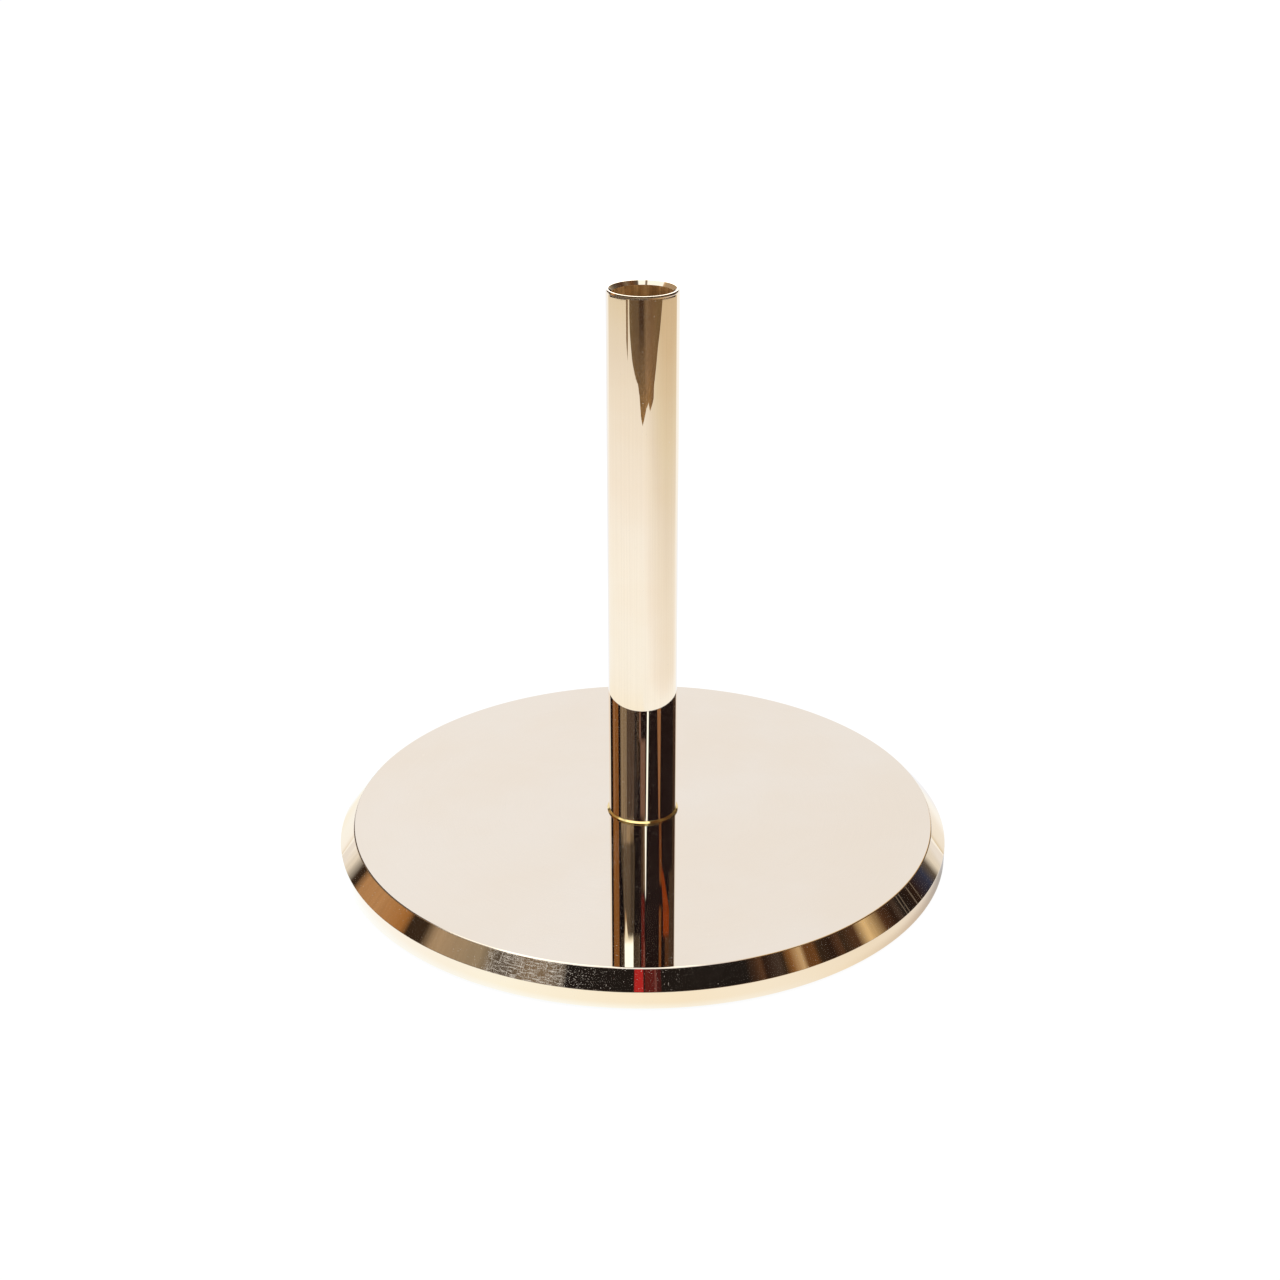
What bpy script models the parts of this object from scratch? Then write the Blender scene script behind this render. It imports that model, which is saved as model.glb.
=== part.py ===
"""Rope barrier stanchion: a weighted round base with one open post socket standing at its centre.

Metres, +Z up. The origin is on the floor, under the middle of the base. Nearly every piece is turned, so it is an
outline of (radius, height above the floor, fillet) corners that is spun about Z. A stud in the foot of the socket
tube clamps the tube, its seat ring and the base cover down onto the weight. The polished cover hides the weight.
"""

import math

import bmesh
import bpy
from mathutils import Matrix, Vector

# Base: outer shape of the cover
BASE_RADIUS = 0.3429 / 2
COVER_HEIGHT = 0.0185
COVER_WALL_HEIGHT = 0.0096
BEVEL_REACH = 0.0081
COVER_SHEET = 0.0015
COVER_FILLET = 0.0009
FLOOR_CLEARANCE = 0.0015

# Socket tube
TUBE_RADIUS = 0.0381 / 2
TUBE_WALL = 0.00305
SOCKET_TOP = 0.3202
CHAMFER_RISE = 0.0012
CHAMFER_REACH = 0.0006
RIM_LAND = 0.0008
LEAD_IN_DEPTH = 0.0021

# Seat ring under the tube
SEAT_RING_OVERHANG = 0.00115
SEAT_RING_THICKNESS = 0.0012

# Weight and its floor ring
WEIGHT_FLOOR_GAP = 0.003
WEIGHT_EDGE = 0.0008
FLOOR_RING_MIDDLE = 0.160
FLOOR_RING_WIDTH = 0.008
FLOOR_RING_HEIGHT = 0.0057
FLOOR_RING_FILLET = 0.001
NUT_POCKET_RADIUS = 0.0165
NUT_POCKET_TOP = 0.0126

# Plug in the foot of the tube
PLUG_HEIGHT = 0.025
PLUG_CHAMFER = 0.001
SPIGOT_RADIUS = 0.0095
SPIGOT_FOOT = 0.014
TAPPED_DEPTH = 0.0195
DRILL_POINT_ANGLE = math.radians(59)

# M10 fastenings
THREAD_RADIUS = 0.005
STUD_FOOT = 0.0014
STUD_TOP = 0.040
STUD_CHAMFER = 0.0008
WASHER_RADIUS = 0.015
WASHER_THICKNESS = 0.0025
SPRING_RADIUS = 0.00905
SPRING_THICKNESS = 0.0022
SPRING_SLOT = 0.0016
SPRING_SLOT_LEAN = math.radians(20)
NUT_ACROSS_FLATS = 0.016
NUT_THICKNESS = 0.005
NUT_CHAMFER_ANGLE = math.radians(30)
SMALL_EDGE = 0.0003

# Where two pieces touch, a hair of space stays between their meshes.
GAP = 0.0003
# Cutters reach past what they cut by this much.
OVERSHOOT = 0.002
WELD = 0.000001
FILLET_STEPS = 3
BASE_SEGMENTS = 96
TUBE_SEGMENTS = 64
SMALL_SEGMENTS = 48
SHARP_EDGE = math.radians(28)

# Heights that follow from those above
COVER_TOP = FLOOR_CLEARANCE + COVER_HEIGHT
SEAT_RING_FOOT = COVER_TOP + GAP
TUBE_FOOT = SEAT_RING_FOOT + SEAT_RING_THICKNESS + GAP
SPIGOT_HOLE_RADIUS = SPIGOT_RADIUS + GAP
THREAD_HOLE_RADIUS = THREAD_RADIUS + GAP
WASHER_FOOT = NUT_POCKET_TOP - GAP - WASHER_THICKNESS
SPRING_FOOT = WASHER_FOOT - GAP - SPRING_THICKNESS
NUT_FOOT = SPRING_FOOT - GAP - NUT_THICKNESS

# Name: colour, metallic, roughness
FINISHES = {
    "polished_gold": ((0.91, 0.78, 0.57, 1), 1.0, 0.06),
    "yellow_brass": ((0.86, 0.62, 0.22, 1), 1.0, 0.15),
    "cast_iron": ((0.07, 0.07, 0.075, 1), 0.6, 0.75),
    "black_rubber": ((0.02, 0.02, 0.02, 1), 0.0, 0.8),
    "zinc_steel": ((0.62, 0.63, 0.65, 1), 1.0, 0.35),
}


def clear_scene():
    for old in list(bpy.data.objects):
        bpy.data.objects.remove(old)


def finish(name):
    """The named material, made when it is first asked for."""
    found = bpy.data.materials.get(name)
    if found:
        return found
    colour, metallic, roughness = FINISHES[name]
    made = bpy.data.materials.new(name)
    made.diffuse_color = colour
    made.use_nodes = True
    shader = made.node_tree.nodes["Principled BSDF"]
    shader.inputs["Base Color"].default_value = colour
    shader.inputs["Metallic"].default_value = metallic
    shader.inputs["Roughness"].default_value = roughness
    return made


def filleted(corners):
    """The outline's points, with a short arc at each corner that has a fillet."""
    points = []
    for index, (radius, height, fillet) in enumerate(corners):
        corner = Vector((radius, height))
        if fillet == 0:
            points.append(corner)
            continue
        to_last = (Vector(corners[index - 1][:2]) - corner).normalized()
        to_next = (Vector(corners[(index + 1) % len(corners)][:2]) - corner).normalized()
        half_angle = to_last.angle(to_next) / 2
        reach = fillet / math.tan(half_angle)
        centre = corner + (to_last + to_next).normalized() * fillet / math.sin(half_angle)
        first = corner + to_last * reach - centre
        last = corner + to_next * reach - centre
        start = math.atan2(first.y, first.x)
        sweep = math.remainder(math.atan2(last.y, last.x) - start, math.tau)
        for step in range(FILLET_STEPS + 1):
            angle = start + sweep * step / FILLET_STEPS
            points.append(centre + Vector((math.cos(angle), math.sin(angle))) * fillet)
    return points


def placed(name, shape, seat, material, parent):
    """Makes the object of a finished bmesh, with its origin at the height of its seat."""
    bmesh.ops.translate(shape, verts=shape.verts, vec=(0, 0, -seat))
    mesh = bpy.data.meshes.new(name)
    shape.to_mesh(mesh)
    shape.free()
    mesh.shade_smooth()
    mesh.set_sharp_from_angle(angle=SHARP_EDGE)
    if material:
        mesh.materials.append(finish(material))
    made = bpy.data.objects.new(name, mesh)
    bpy.context.scene.collection.objects.link(made)
    made.parent = parent
    made.location = (0, 0, seat)
    return made


def turned(name, corners, segments, seat, material, parent):
    """Spins a closed outline about Z. The part of the outline that lies on the axis makes no face."""
    shape = bmesh.new()
    points = filleted(corners)
    ring = [shape.verts.new((point.x, 0, point.y)) for point in points]
    sides = []
    for index, point in enumerate(points):
        if point.x > 0 or points[index - 1].x > 0:
            sides.append(shape.edges.new((ring[index - 1], ring[index])))
    bmesh.ops.spin(
        shape, geom=ring + sides, cent=(0, 0, 0), axis=(0, 0, 1), angle=math.tau, steps=segments, use_merge=True
    )
    bmesh.ops.remove_doubles(shape, verts=shape.verts, dist=WELD)
    bmesh.ops.recalc_face_normals(shape, faces=shape.faces)
    return placed(name, shape, seat, material, parent)


def cut(piece, cutter, operation):
    """Keeps the cutter out of the model and uses it on the piece."""
    cutter.hide_render = True
    cutter.display_type = "WIRE"
    modifier = piece.modifiers.new(cutter.name, "BOOLEAN")
    modifier.operation = operation
    modifier.solver = "EXACT"
    modifier.object = cutter


def rim_corners(inset):
    """The base's outer corners moved squarely inwards: (wall radius, bevel foot), (bevel top radius, top)."""
    slope = math.atan2(COVER_HEIGHT - COVER_WALL_HEIGHT, BEVEL_REACH)
    wall_turn = math.pi / 2 - slope
    bevel_foot = FLOOR_CLEARANCE + COVER_WALL_HEIGHT - inset * math.tan(wall_turn / 2)
    bevel_top_radius = BASE_RADIUS - BEVEL_REACH - inset * math.tan(slope / 2)
    return (BASE_RADIUS - inset, bevel_foot), (bevel_top_radius, COVER_TOP - inset)


def base_cover(parent):
    """Thin polished shell: flat top with the spigot hole, bevelled rim and upright wall, open underneath."""
    outer_wall, outer_top = rim_corners(0)
    inner_wall, inner_top = rim_corners(COVER_SHEET)
    corners = [
        (SPIGOT_HOLE_RADIUS, COVER_TOP, 0),
        (*outer_top, COVER_FILLET),
        (*outer_wall, COVER_FILLET),
        (BASE_RADIUS, FLOOR_CLEARANCE, SMALL_EDGE),
        (BASE_RADIUS - COVER_SHEET, FLOOR_CLEARANCE, 0),
        (*inner_wall, 0),
        (*inner_top, 0),
        (SPIGOT_HOLE_RADIUS, COVER_TOP - COVER_SHEET, 0),
    ]
    return turned("base_cover", corners, BASE_SEGMENTS, FLOOR_CLEARANCE, "polished_gold", parent)


def base_weight(parent):
    """Cast disc that fills the cover, with a groove for the floor ring and a pocket for the nut."""
    wall, top = rim_corners(COVER_SHEET + GAP)
    groove_top = FLOOR_RING_HEIGHT + GAP
    groove_inner = FLOOR_RING_MIDDLE - FLOOR_RING_WIDTH / 2 - GAP
    groove_outer = FLOOR_RING_MIDDLE + FLOOR_RING_WIDTH / 2 + GAP
    corners = [
        (SPIGOT_HOLE_RADIUS, top[1], 0),
        (*top, 0),
        (*wall, 0),
        (wall[0], WEIGHT_FLOOR_GAP + WEIGHT_EDGE, 0),
        (wall[0] - WEIGHT_EDGE, WEIGHT_FLOOR_GAP, 0),
        (groove_outer, WEIGHT_FLOOR_GAP, 0),
        (groove_outer, groove_top, 0),
        (groove_inner, groove_top, 0),
        (groove_inner, WEIGHT_FLOOR_GAP, 0),
        (NUT_POCKET_RADIUS + WEIGHT_EDGE, WEIGHT_FLOOR_GAP, 0),
        (NUT_POCKET_RADIUS, WEIGHT_FLOOR_GAP + WEIGHT_EDGE, 0),
        (NUT_POCKET_RADIUS, NUT_POCKET_TOP, 0),
        (SPIGOT_HOLE_RADIUS, NUT_POCKET_TOP, 0),
    ]
    return turned("base_weight", corners, BASE_SEGMENTS, WEIGHT_FLOOR_GAP, "cast_iron", parent)


def floor_ring(parent):
    """Rubber ring in the weight's groove. It alone touches the floor."""
    inner = FLOOR_RING_MIDDLE - FLOOR_RING_WIDTH / 2
    outer = FLOOR_RING_MIDDLE + FLOOR_RING_WIDTH / 2
    corners = [
        (inner, FLOOR_RING_HEIGHT, 0),
        (outer, FLOOR_RING_HEIGHT, 0),
        (outer, 0, FLOOR_RING_FILLET),
        (inner, 0, FLOOR_RING_FILLET),
    ]
    return turned("floor_ring", corners, BASE_SEGMENTS, 0, "black_rubber", parent)


def seat_ring(parent):
    """Brass ring between the tube's foot and the cover. Its half-round edge shows as a bead round the tube."""
    outer = TUBE_RADIUS + SEAT_RING_OVERHANG
    top = SEAT_RING_FOOT + SEAT_RING_THICKNESS
    edge_round = SEAT_RING_THICKNESS * 0.49
    corners = [
        (SPIGOT_HOLE_RADIUS, top, 0),
        (outer, top, edge_round),
        (outer, SEAT_RING_FOOT, edge_round),
        (SPIGOT_HOLE_RADIUS, SEAT_RING_FOOT, 0),
    ]
    return turned("seat_ring", corners, TUBE_SEGMENTS, SEAT_RING_FOOT, "yellow_brass", parent)


def socket_tube(parent):
    """Open tube that the post drops into. Its rim is chamfered outside and has a tapered lead-in inside."""
    bore = TUBE_RADIUS - TUBE_WALL
    land_outer = TUBE_RADIUS - CHAMFER_REACH
    corners = [
        (TUBE_RADIUS, TUBE_FOOT, SMALL_EDGE),
        (TUBE_RADIUS, SOCKET_TOP - CHAMFER_RISE, 0),
        (land_outer, SOCKET_TOP, 0),
        (land_outer - RIM_LAND, SOCKET_TOP, 0),
        (bore, SOCKET_TOP - LEAD_IN_DEPTH, 0),
        (bore, TUBE_FOOT, SMALL_EDGE),
    ]
    return turned("socket_tube", corners, TUBE_SEGMENTS, TUBE_FOOT, "polished_gold", parent)


def tube_plug(parent):
    """Steel plug fixed in the tube's foot. Its top is the socket's floor, and its spigot centres the base."""
    radius = TUBE_RADIUS - TUBE_WALL - GAP
    top = TUBE_FOOT + PLUG_HEIGHT
    tapped_top = TUBE_FOOT + TAPPED_DEPTH
    drill_point = THREAD_HOLE_RADIUS / math.tan(DRILL_POINT_ANGLE)
    corners = [
        (0, top, 0),
        (radius - PLUG_CHAMFER, top, 0),
        (radius, top - PLUG_CHAMFER, 0),
        (radius, TUBE_FOOT, 0),
        (SPIGOT_RADIUS, TUBE_FOOT, 0),
        (SPIGOT_RADIUS, SPIGOT_FOOT + SMALL_EDGE, 0),
        (SPIGOT_RADIUS - SMALL_EDGE, SPIGOT_FOOT, 0),
        (THREAD_HOLE_RADIUS, SPIGOT_FOOT, 0),
        (THREAD_HOLE_RADIUS, tapped_top, 0),
        (0, tapped_top + drill_point, 0),
    ]
    return turned("tube_plug", corners, SMALL_SEGMENTS, TUBE_FOOT, "zinc_steel", parent)


def clamp_stud(parent):
    """Threaded stud that pulls the plug down, drawn at its thread's outer diameter."""
    corners = [
        (0, STUD_TOP, 0),
        (THREAD_RADIUS - STUD_CHAMFER, STUD_TOP, 0),
        (THREAD_RADIUS, STUD_TOP - STUD_CHAMFER, 0),
        (THREAD_RADIUS, STUD_FOOT + STUD_CHAMFER, 0),
        (THREAD_RADIUS - STUD_CHAMFER, STUD_FOOT, 0),
        (0, STUD_FOOT, 0),
    ]
    return turned("clamp_stud", corners, SMALL_SEGMENTS, STUD_FOOT, "zinc_steel", parent)


def washer(name, outer, thickness, foot, parent):
    corners = [
        (THREAD_HOLE_RADIUS, foot + thickness, 0),
        (outer - SMALL_EDGE, foot + thickness, 0),
        (outer, foot + thickness - SMALL_EDGE, 0),
        (outer, foot + SMALL_EDGE, 0),
        (outer - SMALL_EDGE, foot, 0),
        (THREAD_HOLE_RADIUS, foot, 0),
    ]
    return turned(name, corners, SMALL_SEGMENTS, foot, "zinc_steel", parent)


def flat_washer(parent):
    return washer("flat_washer", WASHER_RADIUS, WASHER_THICKNESS, WASHER_FOOT, parent)


def spring_washer(parent):
    """Split washer, pressed flat, with its leaning slot on the +X side."""
    made = washer("spring_washer", SPRING_RADIUS, SPRING_THICKNESS, SPRING_FOOT, parent)
    shape = bmesh.new()
    bmesh.ops.create_cube(shape, size=1)
    length = SPRING_RADIUS + OVERSHOOT
    tall = SPRING_THICKNESS * 3
    bmesh.ops.scale(shape, verts=shape.verts, vec=(length, SPRING_SLOT, tall))
    bmesh.ops.rotate(shape, verts=shape.verts, matrix=Matrix.Rotation(SPRING_SLOT_LEAN, 3, "X"))
    bmesh.ops.translate(shape, verts=shape.verts, vec=(length / 2, 0, SPRING_FOOT + SPRING_THICKNESS / 2))
    cut(made, placed("slot_cutter", shape, SPRING_FOOT, None, parent), "DIFFERENCE")
    return made


def lock_nut(parent):
    """Thin hexagon nut: a turned blank with coned ends, kept where it lies inside a hexagon."""
    corner_radius = NUT_ACROSS_FLATS / math.sqrt(3)
    blank_radius = corner_radius + OVERSHOOT / 4
    face_radius = NUT_ACROSS_FLATS / 2 - SMALL_EDGE
    cone = (blank_radius - face_radius) * math.tan(NUT_CHAMFER_ANGLE)
    top = NUT_FOOT + NUT_THICKNESS
    corners = [
        (THREAD_HOLE_RADIUS, top, 0),
        (face_radius, top, 0),
        (blank_radius, top - cone, 0),
        (blank_radius, NUT_FOOT + cone, 0),
        (face_radius, NUT_FOOT, 0),
        (THREAD_HOLE_RADIUS, NUT_FOOT, 0),
    ]
    made = turned("lock_nut", corners, SMALL_SEGMENTS, NUT_FOOT, "zinc_steel", parent)
    shape = bmesh.new()
    bmesh.ops.create_cone(
        shape,
        cap_ends=True,
        segments=6,
        radius1=corner_radius,
        radius2=corner_radius,
        depth=NUT_THICKNESS + 2 * OVERSHOOT,
    )
    bmesh.ops.translate(shape, verts=shape.verts, vec=(0, 0, NUT_FOOT + NUT_THICKNESS / 2))
    cut(made, placed("hexagon_cutter", shape, NUT_FOOT, None, parent), "INTERSECT")
    return made


def main():
    clear_scene()
    stanchion = bpy.data.objects.new("stanchion", None)
    bpy.context.scene.collection.objects.link(stanchion)
    base_cover(stanchion)
    base_weight(stanchion)
    floor_ring(stanchion)
    seat_ring(stanchion)
    socket_tube(stanchion)
    tube_plug(stanchion)
    clamp_stud(stanchion)
    flat_washer(stanchion)
    spring_washer(stanchion)
    lock_nut(stanchion)


main()
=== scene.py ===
"""Looks of the rope barrier stanchion: a mirror-polished pale gold base with its open post socket.

Metres, +Z up, origin on the floor under the middle of the base. The turned pieces that show are made again
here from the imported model's own radii and heights, finer and with rounded edges. The hidden pieces keep their
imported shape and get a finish. Polished metal shows little but its surroundings, so the studio is drawn with
care: white overhead and behind, with a darker room in front.
"""

import math

import bpy
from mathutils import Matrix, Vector


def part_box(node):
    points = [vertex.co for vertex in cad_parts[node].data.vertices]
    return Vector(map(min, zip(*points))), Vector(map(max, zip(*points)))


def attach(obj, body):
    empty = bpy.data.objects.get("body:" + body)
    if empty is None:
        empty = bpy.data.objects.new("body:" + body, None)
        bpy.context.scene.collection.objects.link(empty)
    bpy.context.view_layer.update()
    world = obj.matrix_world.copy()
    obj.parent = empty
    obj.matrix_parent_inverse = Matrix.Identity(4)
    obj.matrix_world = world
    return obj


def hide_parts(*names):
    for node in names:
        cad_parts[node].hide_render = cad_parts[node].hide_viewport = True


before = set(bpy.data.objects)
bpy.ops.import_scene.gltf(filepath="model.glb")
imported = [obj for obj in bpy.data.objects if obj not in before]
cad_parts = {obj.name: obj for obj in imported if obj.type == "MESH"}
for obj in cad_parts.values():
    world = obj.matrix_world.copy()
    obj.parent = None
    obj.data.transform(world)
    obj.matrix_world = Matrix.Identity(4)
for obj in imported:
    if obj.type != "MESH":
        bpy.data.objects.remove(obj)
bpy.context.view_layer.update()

# Base cover
BEVEL_RISE = 0.0089
BEVEL_REACH = 0.0081
COVER_SHEET = 0.0015
TOP_FILLET = 0.0013
FOOT_FILLET = 0.0005
COVER_HOLE_RADIUS = 0.0098

# Socket tube and the ring at its foot
TUBE_WALL = 0.00305
CHAMFER_RISE = 0.0012
CHAMFER_REACH = 0.0006
RIM_LAND = 0.0008
LEAD_IN_DEPTH = 0.0021
RIM_FILLET_FINE = 0.00012
RIM_ROLL = 0.0025
RING_SINK = 0.0001
RING_TOP_LAND = 0.0001
RING_FILLET = 0.00025
RING_EDGE_SHARE = 0.4

# Fineness of the turned meshes
BASE_SEGMENTS = 384
TUBE_SEGMENTS = 192
FILLET_STEPS = 8
HOLD = 0.00006
SHARP_EDGE = math.radians(32)

# Camera
CAMERA_PLACE = (0.0, -0.9573, 0.5487)
CAMERA_TILT = math.radians(23.89)
CAMERA_LENS = 53.59
CAMERA_SHIFT = -0.00207

# Studio
FLOOR_HALF = 30.0
FLOOR_DROP = 0.0002
FLOOR_GLOW = 0.93
FLOOR_WHITE = 0.10
SKY_LIGHT = 1.25
TABLE_REACH = 1.313
ARC_STEPS = 36
WALL_WHITE = (1.0, 1.03, 1.09)
# A ray that leaves the scene already counts one more than the mirrors that it met.
BACKGROUND_DEPTH = 1
# The way that a look from the front runs down onto the tube's mouth
LOOK_DOWN = (0.0, 0.9728, -0.2317)

GOLD = (0.94, 0.83, 0.70)
GOLD_DEEP = (0.93, 0.80, 0.65)
GOLD_WORN = (0.97, 0.90, 0.80)
DUST = (0.80, 0.79, 0.77)
# The bore's streaks, painted dark brown for the shade inside the tube
BORE_SHADED_DARK = (0.36, 0.175, 0.052)
BORE_SHADED_PALE = (0.66, 0.39, 0.15)
BRASS = (0.97, 0.75, 0.34)
BRASS_TARNISHED = (0.86, 0.50, 0.14)
IRON_PAINT = (0.030, 0.031, 0.033)
IRON_PAINT_WORN = (0.075, 0.075, 0.078)
IRON_RUST = (0.16, 0.065, 0.03)
RUBBER = (0.018, 0.018, 0.019)
RUBBER_SCUFFED = (0.16, 0.155, 0.15)
ZINC_BLUE = (0.60, 0.62, 0.66)
ZINC_STRAW = (0.68, 0.65, 0.57)

# Where cloths have rubbed the bevel, in degrees round from the front: (first, last, softness)
SCRATCHED = (-27.8, -13.3, 0.6)
GRITTY = (-17, -7, 4)
LIGHTLY_GRITTY = (-33, 8, 4)
# How softly the rubbing ends up and down the bevel, and how far below the top it stops, in metres
SCUFF_EDGE = 0.0004
SCUFF_TOP_GAP = 0.0002


# ---------------------------------------------------------------- shader nodes


class Graph:
    """Short calls for the shader nodes that the materials and the studio share."""

    def __init__(self, tree):
        self.tree = tree
        tree.nodes.clear()

    def node(self, kind, **settings):
        made = self.tree.nodes.new(kind)
        for name, value in settings.items():
            setattr(made, name, value)
        return made

    def feed(self, socket, value):
        """Links a socket, or sets the number or colour when the value is one."""
        if isinstance(value, bpy.types.NodeSocket):
            self.tree.links.new(value, socket)
        elif isinstance(value, tuple) and len(value) == 3 and socket.type == "RGBA":
            socket.default_value = (*value, 1.0)
        else:
            socket.default_value = value

    def maths(self, operation, *values):
        made = self.node("ShaderNodeMath", operation=operation)
        for socket, value in zip(made.inputs, values):
            self.feed(socket, value)
        return made.outputs[0]

    def vector(self, operation, *values):
        made = self.node("ShaderNodeVectorMath", operation=operation)
        for socket, value in zip(made.inputs, values):
            self.feed(socket, value)
        return made.outputs["Value" if operation == "LENGTH" else "Vector"]

    def split(self, vector):
        made = self.node("ShaderNodeSeparateXYZ")
        self.feed(made.inputs[0], vector)
        return made.outputs

    def joined(self, x, y, z):
        made = self.node("ShaderNodeCombineXYZ")
        for socket, value in zip(made.inputs, (x, y, z)):
            self.feed(socket, value)
        return made.outputs[0]

    def rise(self, value, low, high, to_low=0.0, to_high=1.0):
        """Goes smoothly from to_low to to_high as the value goes from low to high."""
        made = self.node("ShaderNodeMapRange", interpolation_type="SMOOTHSTEP")
        inputs = {"Value": value, "From Min": low, "From Max": high, "To Min": to_low, "To Max": to_high}
        for name, given in inputs.items():
            self.feed(made.inputs[name], given)
        return made.outputs[0]

    def band(self, value, low, high, soft):
        """1 between low and high, with soft edges."""
        opening = self.rise(value, low - soft, low + soft)
        return self.maths("MULTIPLY", opening, self.rise(value, high - soft, high + soft, 1.0, 0.0))

    def between(self, share, first, last):
        """A number that goes evenly from first to last."""
        return self.maths("MULTIPLY_ADD", share, last - first, first)

    def panel(self, across, up, corners):
        """1 inside a four-sided area: (lowest, its left, its right, highest, its left, its right)."""
        low, low_left, low_right, high, high_left, high_right = corners
        share = self.maths("DIVIDE", self.maths("SUBTRACT", up, low), high - low)
        left = self.maths("SUBTRACT", across, self.between(share, low_left, high_left))
        right = self.maths("SUBTRACT", self.between(share, low_right, high_right), across)
        inside = self.maths("MULTIPLY", self.rise(left, -0.8, 0.8), self.rise(right, -0.8, 0.8))
        return self.maths("MULTIPLY", inside, self.band(up, low, high, 0.12))

    def mix(self, share, first, second):
        made = self.node("ShaderNodeMix", data_type="RGBA")
        for index, value in ((0, share), (6, first), (7, second)):
            self.feed(made.inputs[index], value)
        return made.outputs[2]

    def scaled(self, colour, factor):
        made = self.node("ShaderNodeVectorMath", operation="SCALE")
        self.feed(made.inputs[0], colour)
        self.feed(made.inputs["Scale"], factor)
        return made.outputs[0]

    def ramp(self, value, low, high, stops):
        """A colour ramp whose stops are given in the value's own unit, from low to high."""
        made = self.node("ShaderNodeValToRGB")
        self.feed(made.inputs[0], self.maths("DIVIDE", self.maths("SUBTRACT", value, low), high - low))
        elements = made.color_ramp.elements
        for index, (place, colour) in enumerate(stops):
            position = (place - low) / (high - low)
            if index < 2:
                elements[index].position = position
            element = elements[index] if index < 2 else elements.new(position)
            element.color = (*colour, 1.0)
        return made.outputs[0]

    def noise(self, vector, scale, detail=3.0, roughness=0.5):
        made = self.node("ShaderNodeTexNoise")
        inputs = {"Vector": vector, "Scale": scale, "Detail": detail, "Roughness": roughness}
        for name, value in inputs.items():
            self.feed(made.inputs[name], value)
        return made.outputs[0]

    def specks(self, vector, scale, size, share):
        """Small soft dots: 1 at a dot's middle. Only this share of the cells holds a dot."""
        made = self.node("ShaderNodeTexVoronoi", feature="F1")
        self.feed(made.inputs["Vector"], vector)
        self.feed(made.inputs["Scale"], scale)
        dot = self.rise(made.outputs["Distance"], size * 0.5, size, 1.0, 0.0)
        chosen = self.maths("LESS_THAN", self.split(made.outputs["Color"])[0], share)
        return self.maths("MULTIPLY", dot, chosen)

    def bumped(self, height, distance, strength=1.0):
        made = self.node("ShaderNodeBump")
        self.feed(made.inputs["Strength"], strength)
        self.feed(made.inputs["Distance"], distance)
        self.feed(made.inputs["Height"], height)
        return made.outputs["Normal"]

    def surface(self, **inputs):
        """Ends a material in one Principled BSDF."""
        shader = self.node("ShaderNodeBsdfPrincipled")
        for name, value in inputs.items():
            self.feed(shader.inputs[name.replace("_", " ")], value)
        output = self.node("ShaderNodeOutputMaterial")
        self.tree.links.new(shader.outputs[0], output.inputs["Surface"])


def material(name):
    """A new material, its graph and the object's own coordinates, which are metres from the origin."""
    made = bpy.data.materials.new(name)
    made.use_nodes = True
    graph = Graph(made.node_tree)
    place = graph.node("ShaderNodeTexCoord").outputs["Object"]
    return made, graph, place


def degrees_round(graph, vector):
    """Where a vector points, round from the front and to the right positive."""
    parts = graph.split(vector)
    return graph.maths("DEGREES", graph.maths("ARCTAN2", parts[0], graph.maths("MULTIPLY", parts[1], -1.0)))


def degrees_up(graph, vector):
    return graph.maths("DEGREES", graph.maths("ARCSINE", graph.split(vector)[2]))


# ------------------------------------------------------------------- materials


def dusted(graph, place, share):
    """Loose dust, a few specks to the square centimetre."""
    fine = graph.specks(place, 520, 0.11, share)
    coarse = graph.specks(place, 150, 0.05, share * 0.6)
    return graph.maths("MULTIPLY", graph.maths("MAXIMUM", fine, coarse), 0.35)


def scuffed(graph, place, low, high):
    """Fine pale scratches both ways and grit, on the stretch left of the front that cloths rub most."""
    parts = graph.split(place)
    angle = degrees_round(graph, place)
    radius = graph.vector("LENGTH", graph.joined(parts[0], parts[1], 0.0))
    around = graph.joined(graph.maths("MULTIPLY", radius, 1900.0), graph.maths("MULTIPLY", angle, 0.6), 0.0)
    across = graph.joined(graph.maths("MULTIPLY", radius, 220.0), graph.maths("MULTIPLY", angle, 7.0), 4.0)
    scratch = graph.rise(graph.noise(around, 1.0, 3.0, 0.6), 0.46, 0.62, 0.0, 0.42)
    crossing = graph.rise(graph.noise(across, 1.0, 2.0), 0.52, 0.66, 0.0, 0.40)
    scratch = graph.maths("MAXIMUM", scratch, crossing)
    patchy = graph.rise(graph.noise(place, 1700, 3.0, 0.7), 0.36, 0.62, 0.25, 1.0)
    scratch = graph.maths("MULTIPLY", scratch, patchy)
    scratch = graph.maths("MULTIPLY", scratch, graph.band(angle, *SCRATCHED))
    thick = graph.maths("MULTIPLY", graph.specks(place, 2100, 0.42, 0.32), graph.band(angle, *GRITTY))
    thin = graph.maths("MULTIPLY", graph.specks(place, 1500, 0.36, 0.06), graph.band(angle, *LIGHTLY_GRITTY))
    grit = graph.maths("MULTIPLY", graph.maths("MAXIMUM", thick, thin), 0.38)
    marks = graph.maths("MAXIMUM", scratch, grit)
    return graph.maths("MULTIPLY", marks, graph.band(parts[2], low, high, SCUFF_EDGE))


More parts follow.
